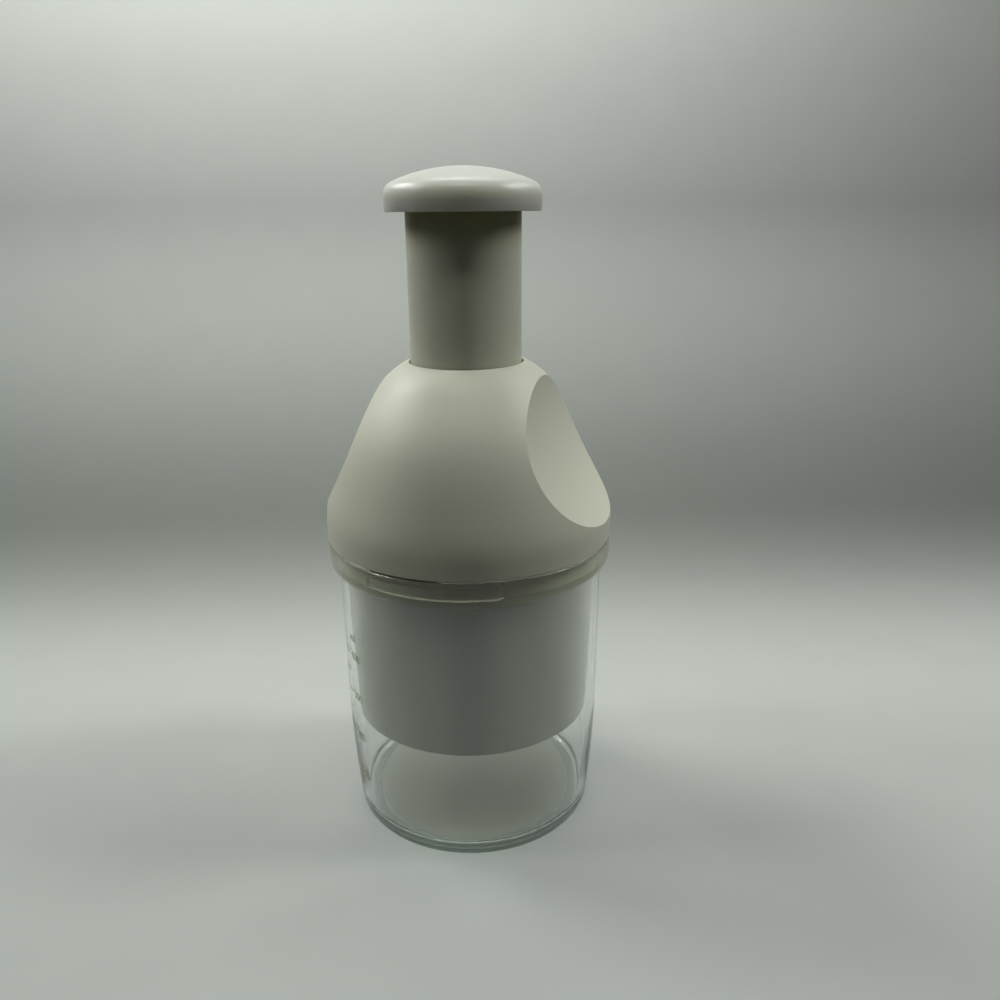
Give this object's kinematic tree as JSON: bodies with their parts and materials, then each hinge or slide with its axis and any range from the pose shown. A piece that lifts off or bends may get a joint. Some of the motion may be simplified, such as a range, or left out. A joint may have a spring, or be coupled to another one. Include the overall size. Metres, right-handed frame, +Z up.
{
  "type": "plunger food chopper",
  "caption": "Hand chopper: a sprung knob on a tube drives a folded steel blade through a wiper plate into a clear cup with a bayonet collar.",
  "frame": {"origin": "on the table, under the middle of the cup", "axes": "+Z up along the press, the front faces -Y, +X to the right seen from the front"},
  "size_m": [0.1, 0.1, 0.2279],
  "materials": {
    "cup_clear": "clear moulded plastic, polished",
    "guard_white": "satin white moulding",
    "housing_white": "fine-textured warm white moulding",
    "tube_white": "satin off-white moulding",
    "knob_white": "polished white moulding",
    "inner_plastic": "plain white moulding",
    "blade_steel": "rolled stainless strip with a ground edge",
    "bright_steel": "turned steel",
    "spring_steel": "drawn spring wire",
    "bumper_rubber": "plain black rubber"
  },
  "bodies": {
    "cup": {"clear_cup": "cup_clear"},
    "guard": {"blade_guard": "guard_white"},
    "housing": {"housing_shell": "housing_white", "bayonet_base": "inner_plastic", "base_screws": "bright_steel", "guide_sleeve": "inner_plastic", "sleeve_screws": "bright_steel", "top_bush": "inner_plastic", "bumper_ring": "bumper_rubber", "cam_bush": "inner_plastic", "cam_pins": "bright_steel", "lower_spring_seat": "inner_plastic", "return_spring": "spring_steel"},
    "plunger": {"press_knob": "knob_white", "knob_plug": "inner_plastic", "plunger_tube": "tube_white", "upper_spring_seat": "inner_plastic"},
    "driver": {"drive_shaft": "inner_plastic", "ratchet_driver": "inner_plastic", "driver_pin": "bright_steel", "shaft_screw": "bright_steel", "shaft_washer": "bright_steel", "shaft_clip": "bright_steel", "ratchet_spring": "spring_steel"},
    "blade_set": {"blade_hub": "inner_plastic", "hub_screws": "bright_steel", "blade_carrier": "inner_plastic", "zigzag_blade": "blade_steel"},
    "wiper": {"wiper_plate": "guard_white"}
  },
  "joints": [
    {"name": "lift_off", "type": "slide", "parent": "cup", "child": "guard", "axis": [0, 0, 1], "range_m": [0, 0.12]},
    {"name": "lock_turn", "type": "hinge", "parent": "guard", "child": "housing", "pos_m": [0, 0, 0.1071], "axis": [0, 0, 1], "range_deg": [-32, 0]},
    {"name": "press", "type": "slide", "parent": "housing", "child": "plunger", "axis": [0, 0, 1], "range_m": [-0.044, 0], "stiffness_N_per_m": 350, "springref_m": 0.025, "deforming": ["return_spring"]},
    {"name": "cam_turn", "type": "hinge", "parent": "plunger", "child": "driver", "pos_m": [0, 0, 0.1064], "axis": [0, 0, 1], "range_deg": [-30, 0]},
    {"name": "ratchet_index", "type": "hinge", "parent": "driver", "child": "blade_set", "pos_m": [0, 0, 0.099], "axis": [0, 0, 1], "continuous": true},
    {"name": "wiper_slide", "type": "slide", "parent": "blade_set", "child": "wiper", "axis": [0, 0, 1], "range_m": [0, 0.044]}
  ],
  "couplings": [
    {"joint": "cam_turn", "follows": "press", "rad_per_m": 11.9},
    {"joint": "wiper_slide", "follows": "press", "ratio": -1}
  ]
}
